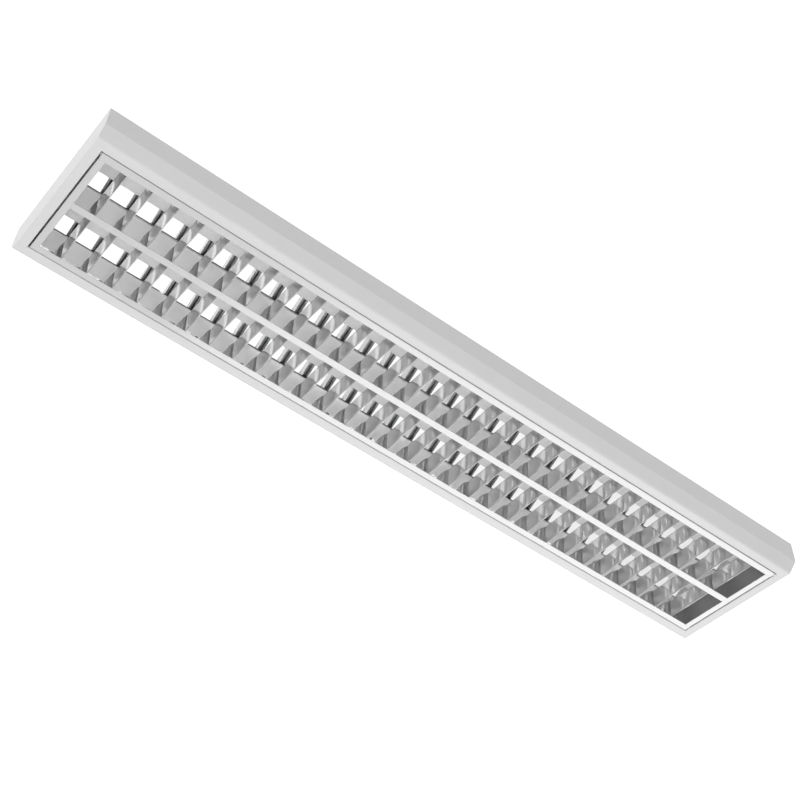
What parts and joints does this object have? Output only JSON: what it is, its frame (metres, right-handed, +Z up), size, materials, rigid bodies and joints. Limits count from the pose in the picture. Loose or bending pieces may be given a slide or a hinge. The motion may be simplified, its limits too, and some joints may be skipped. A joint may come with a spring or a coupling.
{
  "type": "surface mount louvre light",
  "caption": "Long shallow ceiling light: a white steel body and a hinged louvre with cross blades in bright aluminium under LED boards.",
  "frame": {"origin": "centre of the flat face that lies against the ceiling", "axes": "+X along the length towards the picture's far end, +Y towards the side with the catch springs, +Z up into the ceiling"},
  "size_m": [1.2, 0.2448, 0.053],
  "materials": {
    "white_coated_steel": "white powder coat on folded steel sheet",
    "louvre_coated_steel": "white powder coat on the louvre rails",
    "bright_aluminium": "bright rolled and anodised reflector sheet",
    "led_board": "white solder resist on a metal-core board",
    "opal_plastic": "extruded opal acrylic",
    "led_package": "yellow phosphor in white packages",
    "white_plastic": "moulded white nylon",
    "zinc_steel": "bright zinc plate",
    "spring_steel": "rolled spring strip",
    "black_rubber": "moulded rubber",
    "driver_steel": "white coated thin steel",
    "circuit_board": "green board with dark components",
    "terminal_plastic": "moulded off-white nylon",
    "tinned_brass": "tin plated brass",
    "green_insulation": "green and yellow wire insulation",
    "brown_insulation": "brown wire insulation",
    "blue_insulation": "blue wire insulation",
    "white_insulation": "white wire insulation",
    "grey_insulation": "grey wire insulation"
  },
  "bodies": {
    "housing": {"board_link_catch_side": "white_plastic", "board_link_hinge_side": "white_plastic", "bracket_nuts": "zinc_steel", "cable_grommet": "black_rubber", "catch_spring_left": "spring_steel", "catch_spring_right": "spring_steel", "driver_case": "driver_steel", "driver_circuit": "circuit_board", "driver_lid": "driver_steel", "driver_nuts": "zinc_steel", "driver_sockets": "white_plastic", "earth_nut": "zinc_steel", "earth_tag": "tinned_brass", "earth_wire": "green_insulation", "end_plate_left": "white_coated_steel", "end_plate_right": "white_coated_steel", "housing": "white_coated_steel", "led_boards_catch_side": "led_board", "led_boards_hinge_side": "led_board", "led_chips_catch_side": "led_package", "led_chips_hinge_side": "led_package", "led_lead_catch_side": "grey_insulation", "led_lead_hinge_side": "white_insulation", "live_wire": "brown_insulation", "neutral_wire": "blue_insulation", "opal_cover_catch_side": "opal_plastic", "opal_cover_hinge_side": "opal_plastic", "pivot_bracket_left": "zinc_steel", "pivot_bracket_right": "zinc_steel", "reflector_nuts": "zinc_steel", "terminal_block": "terminal_plastic", "terminal_nut": "zinc_steel", "top_reflector_catch_side": "bright_aluminium", "top_reflector_hinge_side": "bright_aluminium", "weld_studs": "zinc_steel"},
    "louvre": {"corner_block_left_catch_side": "white_plastic", "corner_block_left_hinge_side": "white_plastic", "corner_block_right_catch_side": "white_plastic", "corner_block_right_hinge_side": "white_plastic", "louvre_blades_left_catch_side": "bright_aluminium", "louvre_blades_left_hinge_side": "bright_aluminium", "louvre_blades_middle_catch_side": "bright_aluminium", "louvre_blades_middle_hinge_side": "bright_aluminium", "louvre_blades_right_catch_side": "bright_aluminium", "louvre_blades_right_hinge_side": "bright_aluminium", "louvre_centre_rail": "louvre_coated_steel", "louvre_end_panels_catch_side": "bright_aluminium", "louvre_end_panels_hinge_side": "bright_aluminium", "louvre_end_rail_left": "louvre_coated_steel", "louvre_end_rail_right": "louvre_coated_steel", "louvre_reflector_inner_catch_side": "bright_aluminium", "louvre_reflector_inner_hinge_side": "bright_aluminium", "louvre_reflector_outer_catch_side": "bright_aluminium", "louvre_reflector_outer_hinge_side": "bright_aluminium", "louvre_side_rail_catch_side": "louvre_coated_steel", "louvre_side_rail_hinge_side": "louvre_coated_steel", "pivot_pin_left": "zinc_steel", "pivot_pin_right": "zinc_steel"}
  },
  "joints": [
    {"name": "louvre_swing", "type": "hinge", "parent": "housing", "child": "louvre", "pos_m": [0, -0.0908, -0.0502], "axis": [-1, 0, 0], "range_deg": [0, 90]}
  ]
}
